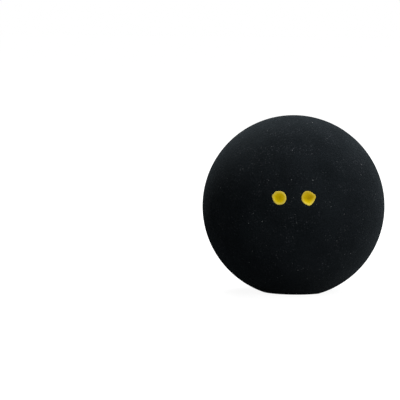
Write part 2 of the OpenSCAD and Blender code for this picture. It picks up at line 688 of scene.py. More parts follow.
@dataclass(frozen=True)
class PrintInk(Finish):
    """Matt pale ink, streaked where the pad lifted off and thin over the rubber's grain."""

    light: Colour = (0.40, 0.45, 0.53, 1.0)
    dark: Colour = (0.31, 0.355, 0.42, 1.0)
    bare: Colour = (0.09, 0.10, 0.12, 1.0)
    patch: float = 1.6 * MM
    streak_length: float = 5.0 * MM
    streak_width: float = 0.34 * MM
    streak_turn: tuple[float, float, float] = (0.0, math.radians(38), 0.0)
    streak_strength: float = 0.4
    hole_spacing: float = 0.55 * MM
    hole_radius: float = 0.11 * MM
    hole_patch: float = 3.0 * MM
    grain: float = 0.16 * MM
    grain_depth: float = 0.012 * MM
    roughness: float = 0.5
    roughness_swing: float = 0.2
    specular: float = 0.15

    def paint(self, surface: Surface) -> None:
        """Adds the print's nodes.

        Args:
            surface: the material's nodes.
        """
        base = surface.tones(self.patch, self.dark, self.light)
        run = {"Turn": self.streak_turn, "Length": self.streak_length, "Width": self.streak_width}
        streaks = surface.effect(surface.effects.streaks, **run)["Mask"]
        base = surface.mix(surface.math("MULTIPLY", streaks, self.streak_strength), base, self.bare)
        holes = surface.specks(self.hole_spacing, self.hole_radius, self.hole_patch)
        fine = surface.grain(self.grain, detail=2.0)
        rough = surface.math("MULTIPLY_ADD", fine, self.roughness_swing, self.roughness)
        height = surface.math("SUBTRACT", fine, holes)
        surface.dress(surface.mix(holes, base, self.bare), rough, height, self.grain_depth)


# Pieces


@dataclass(frozen=True)
class Shape:
    """The ball's sizes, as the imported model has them."""

    radius: float
    cavity: float
    rim: float

    @classmethod
    def from_frame(cls) -> "Shape":
        """Reads the sizes from the front half shell.

        Returns:
            The sizes.
        """
        _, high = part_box("front_half_shell")
        reaches = [v.co.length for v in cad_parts["front_half_shell"].data.vertices]
        return cls(radius=max(reaches), cavity=min(reaches), rim=-high.y)


@dataclass
class HalfShells:
    """The two moulded half shells: a square grid of faces drawn over each, rim and inside too."""

    # Just under 1, to tell points at a limit from those inside it
    ALMOST_ONE: ClassVar[float] = 0.9999
    ALMOST_OUTER: ClassVar[float] = 0.9995

    shape: Shape
    outer_break: float = 0.06 * MM
    inner_chamfer: float = 0.4 * MM
    divisions: int = 128
    lump: float = 5.0 * MM
    lump_depth: float = 0.018 * MM
    pit: float = 1.1 * MM
    pit_depth: float = 0.006 * MM

    def tree(self) -> Group:
        """Builds the tree that draws one half shell.

        Returns:
            The tree, which takes nothing but its named inputs.
        """
        sizes = (
            "Radius", "Cavity", "Rim", "Outer Break", "Inner Chamfer",
            "Lump", "Lump Depth", "Pit", "Pit Depth",
        )
        inputs = {name: Kind.FLOAT for name in sizes}
        inputs |= {"Divisions": Kind.INT, "Turn": Kind.VECTOR, "Material": Kind.MATERIAL}
        made = Group("HalfShell", Tree.GEOMETRY, inputs, {"Geometry": Kind.GEOMETRY})
        given = made.given
        half = made.math("DIVIDE", given["Divisions"], 2.0)
        across = made.math("ADD", given["Divisions"], 1.0)
        # A block 2 wide and 1 high, with the middle of its bottom at the origin
        inputs = {
            "Size": (2.0, 2.0, 1.0), "Vertices X": across, "Vertices Y": across,
            "Vertices Z": made.math("ADD", half, 1.0),
        }
        block = made.add("GeometryNodeMeshCube", inputs).outputs["Mesh"]
        corner = made.add("GeometryNodeInputPosition").outputs[0]
        corner = made.vector("ADD", corner, (0.0, 0.0, 0.5))
        outside, on_dome = self._outside(made, corner)
        inside = self._inside(made, corner, half)
        inputs = {"Switch": on_dome, "False": inside, "True": outside}
        place = made.add("GeometryNodeSwitch", inputs, input_type="VECTOR").outputs[0]
        shell = made.add("GeometryNodeSetPosition", {"Geometry": block, "Position": place})
        turned = made.add(
            "GeometryNodeTransform", {"Geometry": shell.outputs[0], "Rotation": given["Turn"]}
        )
        worn = made.add(
            "GeometryNodeSetPosition", {"Geometry": turned.outputs[0], "Offset": self._unevenness(made)}
        )
        made.close(worn.outputs[0])
        return made

    @staticmethod
    def _even_turn(made: Group, vector: Socket) -> Socket:
        """Spreads a grid of directions evenly in angle.

        Args:
            made: the tree.
            vector: the place on the block.

        Returns:
            The direction, of unit length.
        """
        angles = made.split(made.scaled(vector, math.pi / 4))
        spread = made.join(*[made.math("TANGENT", angle) for angle in angles])
        return made.vector("NORMALIZE", spread)

    @staticmethod
    def _on_ring(made: Group, vector: Socket, across: Value, height: Value) -> Socket:
        """Finds a point on a level ring.

        Args:
            made: the tree.
            vector: what gives the point's direction round Z.
            across: the ring's radius.
            height: the ring's height.

        Returns:
            The point.
        """
        flat = made.vector("NORMALIZE", made.vector("MULTIPLY", vector, (1.0, 1.0, 0.0)))
        raised = made.join(0.0, 0.0, height)
        return made.vector("ADD", made.scaled(flat, across), raised)

    def _outside(self, made: Group, corner: Socket) -> tuple[Socket, Socket]:
        """Draws the block's top and sides on the outer sphere.

        Args:
            made: the tree.
            corner: the place on the block.

        Returns:
            The place on the sphere, and whether the point belongs there.
        """
        given = made.given
        x, y, z = made.split(made.vector("ABSOLUTE", corner))
        farthest = made.math("MAXIMUM", made.math("MAXIMUM", x, y), z)
        inputs = {0: farthest, 1: self.ALMOST_ONE}
        on_dome = made.add("FunctionNodeCompare", inputs, operation="GREATER_THAN")
        facing = self._even_turn(made, corner)
        edge = made.math("ADD", given["Rim"], given["Outer Break"])
        lowest = made.math("ARCSINE", made.math("DIVIDE", edge, given["Radius"]))
        share = made.math("DIVIDE", made.math("ARCSINE", made.split(facing)[2]), math.pi / 2)
        room = made.math("SUBTRACT", math.pi / 2, lowest)
        latitude = made.math("MULTIPLY_ADD", share, room, lowest)
        across = made.math("MULTIPLY", given["Radius"], made.math("COSINE", latitude))
        height = made.math("MULTIPLY", given["Radius"], made.math("SINE", latitude))
        return self._on_ring(made, facing, across, height), on_dome.outputs[0]

    def _inside(self, made: Group, corner: Socket, half: Socket) -> Socket:
        """Draws the block's bottom on the rim, its inner chamfer and the cavity.

        Counted from the edge of the block, rings 1 and 2 bound the flat of the rim, and ring 3 is
        where the chamfer meets the cavity.

        Args:
            made: the tree.
            corner: the place on the block.
            half: how many rings of faces the bottom has.

        Returns:
            The place on the rim or in the cavity.
        """
        given = made.given
        x, y, _ = made.split(made.vector("ABSOLUTE", corner))
        # An eighth of a face's width keeps the share off 0 at the middle, since it divides below
        share = made.math("MAXIMUM", made.math("MAXIMUM", x, y), 0.25 / self.divisions)
        facing = self._even_turn(made, made.scaled(corner, made.math("DIVIDE", 1.0, share)))
        ring = made.math("MULTIPLY", made.math("SUBTRACT", 1.0, share), half)
        chamfer_top = made.math("ADD", given["Rim"], given["Inner Chamfer"])
        lowest = made.math("ARCSINE", made.math("DIVIDE", chamfer_top, given["Cavity"]))
        inputs = {
            "Value": ring, "From Min": 3.0, "From Max": half, "To Min": lowest, "To Max": math.pi / 2,
        }
        latitude = made.add("ShaderNodeMapRange", inputs).outputs[0]
        across = made.math("MULTIPLY", given["Cavity"], made.math("COSINE", latitude))
        height = made.math("MULTIPLY", given["Cavity"], made.math("SINE", latitude))
        first = made.math("SUBTRACT", given["Radius"], given["Outer Break"])
        second = made.math("ADD", given["Cavity"], given["Inner Chamfer"])
        for limit, radius in ((2.5, second), (1.5, first)):
            near = made.add("FunctionNodeCompare", {0: ring, 1: limit}, operation="LESS_THAN").outputs[0]
            inputs = {"Switch": near, "False": across, "True": radius}
            across = made.add("GeometryNodeSwitch", inputs, input_type="FLOAT").outputs[0]
            inputs = {"Switch": near, "False": height, "True": given["Rim"]}
            height = made.add("GeometryNodeSwitch", inputs, input_type="FLOAT").outputs[0]
        return self._on_ring(made, facing, across, height)

    @classmethod
    def _unevenness(cls, made: Group) -> Socket:
        """Works out how the outer surface sinks, in wide shallow lumps and fine pits.

        Args:
            made: the tree.

        Returns:
            How far each point moves, which is not at all in the cavity and on the rim.
        """
        given = made.given
        place = made.add("GeometryNodeInputPosition").outputs[0]
        sunk = []
        for size, depth in (("Lump", "Lump Depth"), ("Pit", "Pit Depth")):
            noise = made.noise(made.scaled(place, made.math("DIVIDE", 1.0, given[size])), detail=0.0)
            sunk.append(made.math("MULTIPLY", noise, given[depth]))
        depth = made.math("MULTIPLY", made.math("ADD", *sunk), -1.0)
        limit = made.math("MULTIPLY", given["Radius"], cls.ALMOST_OUTER)
        inputs = {0: made.length(place), 1: limit}
        outer = made.add("FunctionNodeCompare", inputs, operation="GREATER_THAN").outputs[0]
        return made.scaled(made.vector("NORMALIZE", place), made.math("MULTIPLY", depth, outer))

    def build(self, material: bpy.types.Material) -> None:
        """Makes both half shells.

        Args:
            material: the rubber's finish.
        """
        tree = self.tree()
        for side, name in ((Side.FRONT, "front_half"), (Side.REAR, "rear_half")):
            values = {
                "Radius": self.shape.radius, "Cavity": self.shape.cavity, "Rim": self.shape.rim,
                "Outer Break": self.outer_break, "Inner Chamfer": self.inner_chamfer,
                "Lump": self.lump, "Lump Depth": self.lump_depth,
                "Pit": self.pit, "Pit Depth": self.pit_depth, "Divisions": self.divisions,
                "Turn": (-side.value * math.pi / 2, 0.0, 0.0), "Material": material,
            }
            hand_over(tree.grow(name, None, values), Slot.RUBBER, f"{name}_shell")


@dataclass
class CementRing:
    """The cement between the rims, drawn as one section carried round the seam."""

    shape: Shape
    line_depth: float = 0.06 * MM
    inner_chamfer: float = 0.4 * MM
    bead_height: float = 0.35 * MM
    bead_points: int = 9
    film_points: int = 6
    turns: int = 320
    waver: float = 3.0 * MM
    waver_depth: float = 0.02 * MM

    def section(self) -> bpy.types.Mesh:
        """Draws the closed section: X is the distance from the ball's centre, less its radius.

        Returns:
            A mesh of edges alone.
        """
        rim, cavity = self.shape.rim, self.shape.cavity
        half_bead = rim + self.inner_chamfer
        arc = (half_bead**2 + self.bead_height**2) / (2 * self.bead_height)
        centre = cavity - self.bead_height + arc
        reach = math.asin(half_bead / arc)
        bead = [
            (centre - arc * math.cos(a), arc * math.sin(a))
            for a in np.linspace(-reach, reach, self.bead_points)
        ]
        inner, outer = cavity + self.inner_chamfer, self.shape.radius - self.line_depth
        film = [(x, rim) for x in np.linspace(inner, outer - rim / 2, self.film_points)]
        edge = [(outer, rim / 2), (outer, -rim / 2)]
        loop = bead + film + edge + [(x, -h) for x, h in reversed(film)]
        points = np.array([(x - self.shape.radius, h, 0.0) for x, h in loop])
        count = len(points)
        edges = [(i, (i + 1) % count) for i in range(count)]
        return plain_mesh("cement_section", points, [], edges)

    def tree(self) -> Group:
        """Builds the tree that carries the section round the seam.

        Returns:
            The tree, which takes the section as its geometry.
        """
        inputs = {
            "Geometry": Kind.GEOMETRY, "Radius": Kind.FLOAT, "Turns": Kind.INT,
            "Waver": Kind.FLOAT, "Waver Depth": Kind.FLOAT, "Material": Kind.MATERIAL,
        }
        made = Group("CementRing", Tree.GEOMETRY, inputs, {"Geometry": Kind.GEOMETRY})
        given = made.given
        inputs = {"Resolution": given["Turns"], "Radius": given["Radius"]}
        path = made.add("GeometryNodeCurvePrimitiveCircle", inputs).outputs["Curve"]
        section = made.add("GeometryNodeMeshToCurve", {"Mesh": given["Geometry"]}).outputs[0]
        swept = made.add("GeometryNodeCurveToMesh", {"Curve": path, "Profile Curve": section})
        facing_out = made.add("GeometryNodeFlipFaces", {"Mesh": swept.outputs[0]})
        upright = made.add(
            "GeometryNodeTransform",
            {"Geometry": facing_out.outputs[0], "Rotation": (math.pi / 2, 0.0, 0.0)},
        )
        place = made.add("GeometryNodeInputPosition").outputs[0]
        share = made.noise(made.scaled(place, made.math("DIVIDE", 1.0, given["Waver"])), detail=1.0)
        outwards = made.vector("NORMALIZE", made.vector("MULTIPLY", place, (1.0, 0.0, 1.0)))
        shift = made.scaled(outwards, made.math("MULTIPLY", share, given["Waver Depth"]))
        inputs = {"Geometry": upright.outputs[0], "Offset": made.scaled(shift, -1.0)}
        made.close(made.add("GeometryNodeSetPosition", inputs).outputs[0])
        return made

    def build(self, material: bpy.types.Material) -> None:
        """Makes the ring.

        Args:
            material: the cement's finish.
        """
        values = {
            "Radius": self.shape.radius, "Turns": self.turns,
            "Waver": self.waver, "Waver Depth": self.waver_depth, "Material": material,
        }
        piece = self.tree().grow("cement_ring", self.section(), values)
        hand_over(piece, Slot.CEMENT, "seam_cement")


@dataclass(frozen=True)
class InkSpread:
    """How a dot's ink dried: thin round one spot and thicker at its rim, with painted light that brightens
    it to one side, where the dish's inner slope would catch the lamps.

    Places are right and up of the dot's middle, in shares of its radius. Cover runs from 0, where the
    rubber shows through most, to 1.
    """

    thin_right: float
    thin_up: float
    thin_reach: float
    thin_cover: float
    rim_cover: float
    painted_lit_side_cover: float
    painted_lit_side_heading: float
    rim_start: float = 0.35
    rim_end: float = 0.85
    painted_lit_side_reach: float = 0.7

    def cover(self, share: float, angle: np.ndarray) -> np.ndarray:
        """Works out how well the ink covers the rubber along one ring of the dot, with the painted light on
        its lit side added.

        Args:
            share: the ring's place between the middle, 0, and the edge, 1.
            angle: the direction of each place on the ring.

        Returns:
            The cover at each place.
        """
        off_x = share * np.cos(angle) - self.thin_right
        off_y = share * np.sin(angle) - self.thin_up
        away = smooth_step(np.hypot(off_x, off_y) / self.thin_reach)
        on_rim = smooth_step((share - self.rim_start) / (self.rim_end - self.rim_start))
        away = away + (1.0 - away) * on_rim
        # Painted light: the cover rises toward the heading, standing in for the lit inner slope of the dish
        towards = np.maximum(np.cos(angle - self.painted_lit_side_heading), 0.0)
        painted_lit_side = self.painted_lit_side_cover * towards * smooth_step(share / self.painted_lit_side_reach)
        return self.thin_cover + (self.rim_cover - self.thin_cover) * away + painted_lit_side


@dataclass
class SpeedDots:
    """The two speed dots: thick ink with a rounded raised rim round a dish."""

    shape: Shape
    # How far the dots' middles are from each other, and above the ball's middle
    pitch: float = 6.1 * MM
    rise: float = 3.3 * MM
    thickness: float = 0.1 * MM
    dish: float = 0.05 * MM
    root: float = 0.04 * MM
    # Shares of the dot's radius: the crest of its rim, the floor of its dish, and its rings
    crest_share: float = 0.9
    floor_share: float = 0.5
    rings: tuple[float, ...] = (
        0.12, 0.25, 0.38, 0.5, 0.6, 0.68, 0.75, 0.8, 0.85, 0.9, 0.93, 0.955, 0.975, 0.99, 1.0,
    )
    spokes: int = 120
    # The share from which the ink piles up and the rim's painted highlight comes in, and the share past
    # which a CAD point is on the edge
    pile_and_highlight_start: float = 0.57
    edge_reach: float = 0.82
    # Painted light: the left dot's higher cover makes it as bright as the right dot, which the lamps light
    # more
    left_spread: InkSpread = InkSpread(
        thin_right=0.04, thin_up=0.06, thin_reach=0.9, thin_cover=0.3,
        rim_cover=0.74, painted_lit_side_cover=0.22, painted_lit_side_heading=math.radians(235),
    )
    right_spread: InkSpread = InkSpread(
        thin_right=0.38, thin_up=-0.05, thin_reach=1.15, thin_cover=-0.05,
        rim_cover=0.4, painted_lit_side_cover=0.62, painted_lit_side_heading=math.radians(272),
    )

    def _frame(self, hand: Hand) -> np.ndarray:
        """Finds a dot's own directions.

        Args:
            hand: which dot it is.

        Returns:
            The dot's right, up and outward directions, one to a row.
        """
        lift = math.asin(self.rise / self.shape.radius)
        turn = hand.value * math.asin(self.pitch / 2 / (self.shape.radius * math.cos(lift)))
        turned = Matrix.Rotation(turn, 3, "Z") @ Matrix.Rotation(math.pi / 2 - lift, 3, "X")
        return np.array(turned).T

    def _outline(self, node: str, axes: np.ndarray, angle: np.ndarray) -> np.ndarray:
        """Reads the dot's edge from the CAD node.

        Args:
            node: the CAD node.
            axes: the dot's own directions.
            angle: the direction of each spoke.

        Returns:
            The edge's distance from the dot's middle at each spoke.
        """
        points = np.array([v.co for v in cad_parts[node].data.vertices]) @ axes.T
        reach = np.hypot(points[:, 0], points[:, 1])
        on_edge = reach > self.edge_reach * reach.max()
        reach, found = reach[on_edge], np.arctan2(points[on_edge, 1], points[on_edge, 0])
        order = np.argsort(found)
        return np.interp(angle, found[order], reach[order], period=2 * math.pi)

    def _height(self, share: float) -> float:
        """Works out the ink's height, on a rounded rim and in the dish inside it.

        Args:
            share: the place between the middle, 0, and the edge, 1.

        Returns:
            The height above the rubber.
        """
        sunk = smooth_step((self.crest_share - share) / (self.crest_share - self.floor_share))
        fall = max(share - self.crest_share, 0.0) / (1.0 - self.crest_share)
        return float(self.thickness * math.sqrt(1.0 - fall**2) - self.dish * sunk)

    def _mesh(self, node: str, hand: Hand, spread: InkSpread, finish: DotInk) -> bpy.types.Mesh:
        """Draws one dot as rings round its middle, closed just under the rubber's surface.

        Args:
            node: the CAD node.
            hand: which dot it is.
            spread: how the ink dried.
            finish: the ink's finish, which names the attributes.

        Returns:
            The mesh, with the ink's cover and how far it piled up, which also sets the rim's painted
            highlight, at each point.
        """
        axes = self._frame(hand)
        angle = np.linspace(-math.pi, math.pi, self.spokes, endpoint=False)
        edge = self._outline(node, axes, angle)
        rings = [(share, self._height(share)) for share in self.rings] + [(1.0, -self.root)]
        points, cover, piled_and_highlit = [], [], []
        for share, height in rings:
            x, y = share * edge * np.cos(angle), share * edge * np.sin(angle)
            out = np.sqrt((self.shape.radius + height) ** 2 - x**2 - y**2)
            points.append(np.stack([x, y, out], axis=1) @ axes)
            cover.append(spread.cover(share, angle))
            # How far the ink piled up, which also brings in the rim's painted highlight
            pile_and_highlight = smooth_step((share - self.pile_and_highlight_start) / (1.0 - self.pile_and_highlight_start))
            piled_and_highlit.append(np.full(self.spokes, pile_and_highlight))
        for height in (self._height(0.0), -self.root):
            points.append(axes[2:] * (self.shape.radius + height))
            cover.append(spread.cover(0.0, angle[:1]))
            piled_and_highlit.append([0.0])
        top = len(rings) * self.spokes
        bottom, last_ring = top + 1, top - self.spokes
        faces = fan(top, 0, self.spokes) + ring_faces(len(rings), self.spokes)
        faces += [(middle, b, a) for middle, a, b in fan(bottom, last_ring, self.spokes)]
        mesh = plain_mesh(f"{node}_ink", np.vstack(points), faces)
        for name, shares in ((finish.cover_name, cover), (finish.pile_and_highlight_name, piled_and_highlit)):
            values = np.concatenate(shares).astype(np.float32)
            mesh.attributes.new(name, "FLOAT", "POINT").data.foreach_set("value", values)
        return mesh

    def build(self, material: bpy.types.Material, finish: DotInk) -> None:
        """Makes both dots.

        Args:
            material: the ink's material.
            finish: the ink's finish, which names the attributes that it reads.
        """
        dots = (Hand.LEFT, "left_dot", self.left_spread), (Hand.RIGHT, "right_dot", self.right_spread)
        for hand, node, spread in dots:
            mesh = self._mesh(node, hand, spread, finish)
            mesh.materials.append(material)
            hand_over(link_object(mesh.name, mesh), Slot.DOT_INK, node)


@dataclass
class InkPatch:
    """A closed film of ink on the back of the ball, under a flat outline.

    The outline is given as a distance field over u and w, which are X and Z: below 0 is ink. Its
    ragged edge is a sum of waves, and its rounded edge has bands at shares of the shoulder's width.
    """

    # What a distance of exactly 0 becomes, so that every crossing of the grid has a side
    OFF_ZERO: ClassVar[float] = 1e-12
    # The kind of triangulation that fills all the hull, and how near in mm two points are one
    WHOLE_HULL: ClassVar[int] = 0
    SAME_POINT: ClassVar[float] = 1e-6

    shape: Shape
    outline: Callable[[np.ndarray, np.ndarray], np.ndarray]
    low: tuple[float, float]
    high: tuple[float, float]
    thickness: float
    # How deep the film is rooted in the rubber, and how wide its rounded edge is
    root: float = 0.05 * MM
    shoulder: float = 0.09 * MM
    # The grid that the outline is followed on, and the wider one of the points inside it
    step: float = 0.07 * MM
    inner_step: float = 0.32 * MM
    waves: int = 14
    wave_height: float = 0.004 * MM
    wave_lengths: tuple[float, float] = (0.5 * MM, 1.6 * MM)
    bands: tuple[float, ...] = (0.0, 0.35, 1.0)
    corner_share: float = 0.06
    seed: int = 11

    def _field(self) -> tuple[np.ndarray, np.ndarray, np.ndarray]:
        """Samples the outline on a grid, with a slightly ragged edge.

        Returns:
            The grid's u values, its w values, and the distance at each crossing.
        """
        u = np.arange(self.low[0], self.high[0], self.step)
        w = np.arange(self.low[1], self.high[1], self.step)
        grid_u, grid_w = np.meshgrid(u, w, indexing="ij")
        distance = self.outline(grid_u, grid_w)
        rng = np.random.default_rng(self.seed)
        for _ in range(self.waves):
            heading, length = rng.uniform(0, math.pi), rng.uniform(*self.wave_lengths)
            phase = rng.uniform(0, 2 * math.pi)
            along = (grid_u * math.cos(heading) + grid_w * math.sin(heading)) * 2 * math.pi / length
            distance = distance + self.wave_height * np.sin(along + phase)
        return u, w, distance

    def _contour(
        self, u: np.ndarray, w: np.ndarray, distance: np.ndarray, level: float
    ) -> tuple[list[tuple[float, float]], list[tuple[int, int]]]:
        """Follows one level of the field through the grid's cells.

        Args:
            u: the grid's u values.
            w: the grid's w values.
            distance: the field.
            level: the level to follow.

        Returns:
            The points on the level, and the pairs of them that join up.
        """
        value = distance - level
        value = np.where(value == 0, self.OFF_ZERO, value)
        points, numbers, pairs = [], {}, []

        def crossing(a: tuple[int, int], b: tuple[int, int]) -> int:
            """Finds the point where the level crosses a grid edge, kept clear of the corners.

            Args:
                a: the corner at the edge's start.
                b: the corner at its end.

            Returns:
                The point's number.
            """
            if (a, b) not in numbers:
                share = value[a] / (value[a] - value[b])
                share = min(max(share, self.corner_share), 1.0 - self.corner_share)
                numbers[a, b] = len(points)
                start, end = np.array((u[a[0]], w[a[1]])), np.array((u[b[0]], w[b[1]]))
                points.append(tuple(start + share * (end - start)))
            return numbers[a, b]

        inside = value < 0
        mixed = inside[:-1, :-1].astype(int) + inside[1:, :-1] + inside[1:, 1:] + inside[:-1, 1:]
        for i, j in zip(*np.nonzero((mixed > 0) & (mixed < 4))):
            round_cell = [
                ((i, j), (i + 1, j)), ((i + 1, j), (i + 1, j + 1)),
                ((i, j + 1), (i + 1, j + 1)), ((i, j), (i, j + 1)),
            ]
            cut = [crossing(a, b) for a, b in round_cell if inside[a] != inside[b]]
            # Where all four sides are cut, the cell's mean tells which two corners stand alone
            if len(cut) == 4 and inside[i, j] != (value[i:i + 2, j:j + 2].mean() < 0):
                cut = [cut[0], cut[3], cut[1], cut[2]]
            pairs += [(cut[k], cut[k + 1]) for k in range(0, len(cut), 2)]
        return points, pairs

    def _triangles(self) -> tuple[np.ndarray, np.ndarray, list[tuple[int, int, int]]]:
        """Fills the outline with triangles, in bands along its edge.

        Returns:
            The flat points, how deep each is inside the outline, and the triangles.
        """
        u, w, distance = self._field()
        points, edges, depths = [], [], []
        for share in self.bands:
            level = -share * self.shoulder
            found, pairs = self._contour(u, w, distance, level)
            edges += [(a + len(points), b + len(points)) for a, b in pairs]
            if share == 0.0:
                outline_edges = len(edges)
            points += found
            depths += [-level] * len(found)
        skip = max(round(self.inner_step / self.step), 1)
        for i in range(0, len(u), skip):
            for j in range(0, len(w), skip):
                if distance[i, j] < -self.shoulder - self.inner_step / 2:
                    points.append((u[i], w[j]))
                    depths.append(-distance[i, j])
        # The triangulation works in mm, because it is made for points about one unit apart
        scale = 1 / MM
        flat = [Vector((p[0] * scale, p[1] * scale)) for p in points]
        made, made_edges, faces, origin, from_edge, _ = delaunay_2d_cdt(
            flat, edges, [], self.WHOLE_HULL, self.SAME_POINT
        )
        walls = {
            frozenset(edge) for edge, source in zip(made_edges, from_edge)
            if any(s < outline_edges for s in source)
        }
        depth = np.array([depths[source[0]] if source else 0.0 for source in origin])
        flat_points = np.array([tuple(p) for p in made]) * MM
        return flat_points, depth, self._inside(faces, walls)

    @staticmethod
    def _inside(
        faces: Sequence[Sequence[int]], walls: set[frozenset[int]]
    ) -> list[tuple[int, int, int]]:
        """Keeps the triangles inside the outline: each step over its edge changes sides.

        Args:
            faces: all triangles, out to the hull.
            walls: the edges of the outline.

        Returns:
            The triangles that hold ink.
        """
        beside = {}
        for number, face in enumerate(faces):
            for k in range(3):
                beside.setdefault(frozenset((face[k], face[k - 1])), []).append(number)
        inked, queue = {}, []
        for edge, users in beside.items():
            if len(users) == 1 and users[0] not in inked:
                inked[users[0]] = edge in walls
                queue.append(users[0])
        while queue:
            number = queue.pop()
            face = faces[number]
            for k in range(3):
                edge = frozenset((face[k], face[k - 1]))
                for other in beside[edge]:
                    if other not in inked:
                        inked[other] = inked[number] != (edge in walls)
                        queue.append(other)
        return [tuple(face) for number, face in enumerate(faces) if inked.get(number)]

    def mesh(self, name: str) -> bpy.types.Mesh:
        """Makes the film's mesh.

        Args:
            name: the mesh's name.

        Returns:
            A closed mesh: the rounded top, the edge, and a bottom just under the rubber's surface.
        """
        flat, depth, triangles = self._triangles()
        share = np.clip(depth / self.shoulder, 0.0, 1.0)
        height = self.thickness * np.sqrt(1.0 - (1.0 - share) ** 2)
        layers = []
        for level in (height, np.full(len(flat), -self.root)):
            out = np.sqrt((self.shape.radius + level) ** 2 - (flat**2).sum(axis=1))
            layers.append(np.stack([flat[:, 0], out, flat[:, 1]], axis=1))
        used = sorted({i for t in triangles for i in t})
        number = {old: new for new, old in enumerate(used)}
        count = len(used)
        points = np.vstack([layer[used] for layer in layers])
        tops, bottoms, sides = [], [], {}
        for triangle in triangles:
            a, b, c = (number[i] for i in triangle)
            tops.append((a, c, b))
            bottoms.append((a + count, b + count, c + count))
            # An edge that two triangles share is met both ways, and only the border's edges stay
            for p, q in ((a, c), (c, b), (b, a)):
                if (q, p) in sides:
                    del sides[q, p]
                else:
                    sides[p, q] = True
        edge = [(p, p + count, q + count, q) for p, q in sides]
        return plain_mesh(name, points, tops + bottoms + edge)


@dataclass
class PrintedMark:
    """The plain mark on the back: a strung ring, and a border of arcs and pips round it."""

    shape: Shape
    thickness: float = 0.055 * MM
    ring_radius: float = 6.0 * MM
    ring_line: float = 0.9 * MM
    strings: int = 5
    string_width: float = 0.35 * MM
    # The gap between the outermost strings and the ring, as a share of the strings' pitch
    edge_gap_share: float = 0.75
    border_radius: float = 11.0 * MM
    border_line: float = 1.2 * MM
    arc_span: float = math.radians(62)
    arc_corner: float = 0.16 * MM
    pip_radius: float = 0.9 * MM
    repeats: int = 4
    # The room that a patch's grid leaves round its outline
    margin: float = 0.3 * MM

    def _emblem(self, u: np.ndarray, w: np.ndarray) -> np.ndarray:
        """Measures the distance to the strung ring's outline.

        Args:
            u: each point's X.
            w: each point's Z.

        Returns:
            The distances, below 0 inside.
        """
        middle = self.ring_radius - self.ring_line / 2
        out = np.hypot(u, w)
        ring = np.abs(out - middle) - self.ring_line / 2
        inner = 2 * (self.ring_radius - self.ring_line)
        pitch = inner / (self.strings - 1 + 2 * self.edge_gap_share)
        lines = np.full_like(u, np.inf)
        for i in range(self.strings):
            at = (i - (self.strings - 1) / 2) * pitch
            for across in (u, w):
                lines = np.minimum(lines, np.abs(across - at) - self.string_width / 2)
        return np.minimum(ring, np.maximum(lines, out - middle))

    def _arc(self, u: np.ndarray, w: np.ndarray) -> np.ndarray:
        """Measures the distance to the outline of one arc, its middle halfway between X and Z.

        Args:
            u: each point's X.
            w: each point's Z.

        Returns:
            The distances, below 0 inside.
        """
        out = np.hypot(u, w)
        angle = np.abs(np.arctan2(w, u) - math.pi / 4)
        past_end = np.sin(np.minimum(angle - self.arc_span / 2, math.pi / 2)) * out
        beside = np.abs(out - self.border_radius) - self.border_line / 2
        over_x, over_y = past_end + self.arc_corner, beside + self.arc_corner
        rounded = np.hypot(np.maximum(over_x, 0), np.maximum(over_y, 0))
        return rounded + np.minimum(np.maximum(over_x, over_y), 0) - self.arc_corner

    def _pip(self, u: np.ndarray, w: np.ndarray) -> np.ndarray:
        """Distance to the outline of the pip on the X axis."""
        return np.hypot(u - self.border_radius, w) - self.pip_radius

    def _repeat_tree(self) -> Group:
        """Builds the tree that repeats a patch round the Y axis.

        Returns:
            The tree, which takes the patch as its geometry.
        """
        inputs = {"Geometry": Kind.GEOMETRY, "Copies": Kind.INT, "Material": Kind.MATERIAL}
        made = Group("RoundTheMark", Tree.GEOMETRY, inputs, {"Geometry": Kind.GEOMETRY})
        copies = made.given["Copies"]
        spots = made.add("GeometryNodePoints", {"Count": copies, "Position": (0.0, 0.0, 0.0)})
        number = made.add("GeometryNodeInputIndex").outputs[0]
        turn = made.math("MULTIPLY", number, made.math("DIVIDE", 2 * math.pi, copies))
        inputs = {
            "Points": spots.outputs[0], "Instance": made.given["Geometry"],
            "Rotation": made.join(0.0, turn, 0.0),
        }
        made.close(made.add("GeometryNodeInstanceOnPoints", inputs).outputs[0])
        return made

    def build(self, material: bpy.types.Material) -> None:
        """Makes the strung ring, the arcs and the pips.

        Args:
            material: the print's finish.
        """
        reach = self.ring_radius + self.margin
        emblem = InkPatch(self.shape, self._emblem, (-reach, -reach), (reach, reach), self.thickness)
        mesh = emblem.mesh("emblem_print")
        mesh.materials.append(material)
        hand_over(link_object("emblem_print", mesh), Slot.PRINT_INK, "printed_emblem")
        outer = self.border_radius + self.border_line / 2 + self.margin
        arc = InkPatch(
            self.shape, self._arc, (self.margin, self.margin), (outer, outer), self.thickness, seed=5
        )
        tree = self._repeat_tree()
        values = {"Copies": self.repeats, "Material": material}
        arcs = tree.grow("arc_prints", arc.mesh("arc_patch"), values)
        hand_over(arcs, Slot.PRINT_INK, "printed_arcs")
        side = self.pip_radius + self.margin
        corners = (self.border_radius - side, -side), (self.border_radius + side, side)
        pip = InkPatch(self.shape, self._pip, *corners, self.thickness, seed=3)
        pips = tree.grow("pip_prints", pip.mesh("pip_patch"), values)
        hand_over(pips, Slot.PRINT_INK, "printed_pips")


# The studio


def grey(level: float) -> Colour:
    """The colour that has one level in all its channels."""
    return level, level, level, 1.0


def direction(azimuth: float, elevation: float) -> Vector:
    """The way out from the ball at angles in degrees: azimuth 0 is its front and 90 its right."""
    a, e = math.radians(azimuth), math.radians(elevation)
    return Vector((math.sin(a) * math.cos(e), -math.cos(a) * math.cos(e), math.sin(e)))


